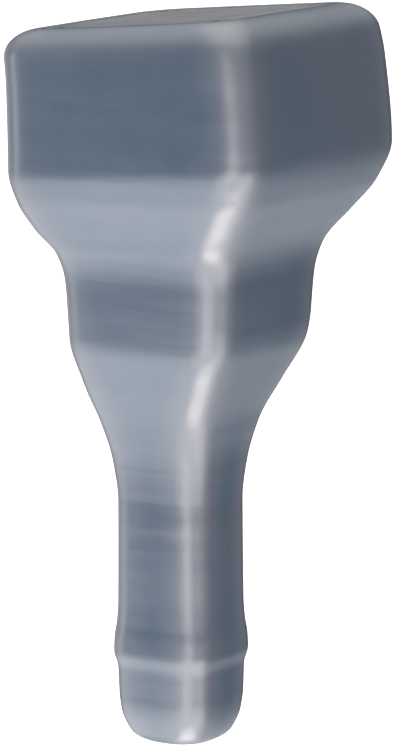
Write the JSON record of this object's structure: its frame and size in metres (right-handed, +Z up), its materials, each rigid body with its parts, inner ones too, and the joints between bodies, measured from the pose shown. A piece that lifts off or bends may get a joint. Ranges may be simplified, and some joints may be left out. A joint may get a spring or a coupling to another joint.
{
  "type": "pneumatic exhaust muffler",
  "caption": "Plug-in compressed air exhaust muffler: square moulded body with a barbed spigot, waist and head chambers, absorbers and a slotted outlet cover.",
  "frame": {"origin": "middle of the inlet spigot's mouth, on the spigot's axis", "axes": "+Z up the spigot's axis towards the head, +X towards the side the head is offset to, the body is symmetric about the XZ plane"},
  "size_m": [0.0608, 0.0598, 0.1511],
  "materials": {
    "moulded_body": "satin moulded polyurethane, slate blue-grey",
    "moulded_cover": "fine-textured moulded nylon, grey",
    "seal_rubber": "matt black rubber",
    "screw_steel": "turned stainless steel",
    "insert_brass": "turned brass",
    "wire_cloth": "woven stainless wire",
    "felt": "pressed wool felt",
    "foam": "open-cell acoustic foam",
    "plated_steel": "zinc-plated steel sheet"
  },
  "bodies": {
    "casing": {"casing": "moulded_body", "threaded_insert_1": "insert_brass", "threaded_insert_2": "insert_brass", "threaded_insert_3": "insert_brass", "threaded_insert_4": "insert_brass", "outlet_pad": "felt", "upper_baffle": "plated_steel", "head_absorber": "foam", "chamber_baffle": "plated_steel", "waist_absorber": "felt", "diffuser_tube": "plated_steel", "diffuser_cap": "plated_steel", "tube_bush": "seal_rubber", "tube_seal": "seal_rubber", "inlet_liner": "plated_steel", "inlet_strainer": "wire_cloth", "spacer_ring": "plated_steel"},
    "cover": {"outlet_cover": "moulded_cover", "cover_gasket": "seal_rubber", "cover_screw_1": "screw_steel", "cover_screw_2": "screw_steel", "cover_screw_3": "screw_steel", "cover_screw_4": "screw_steel", "outlet_screen": "wire_cloth"}
  },
  "joints": [
    {"name": "cover_lift", "type": "slide", "parent": "casing", "child": "cover", "axis": [-0.0872, 0, 0.9962], "range_m": [0, 0.03]}
  ]
}
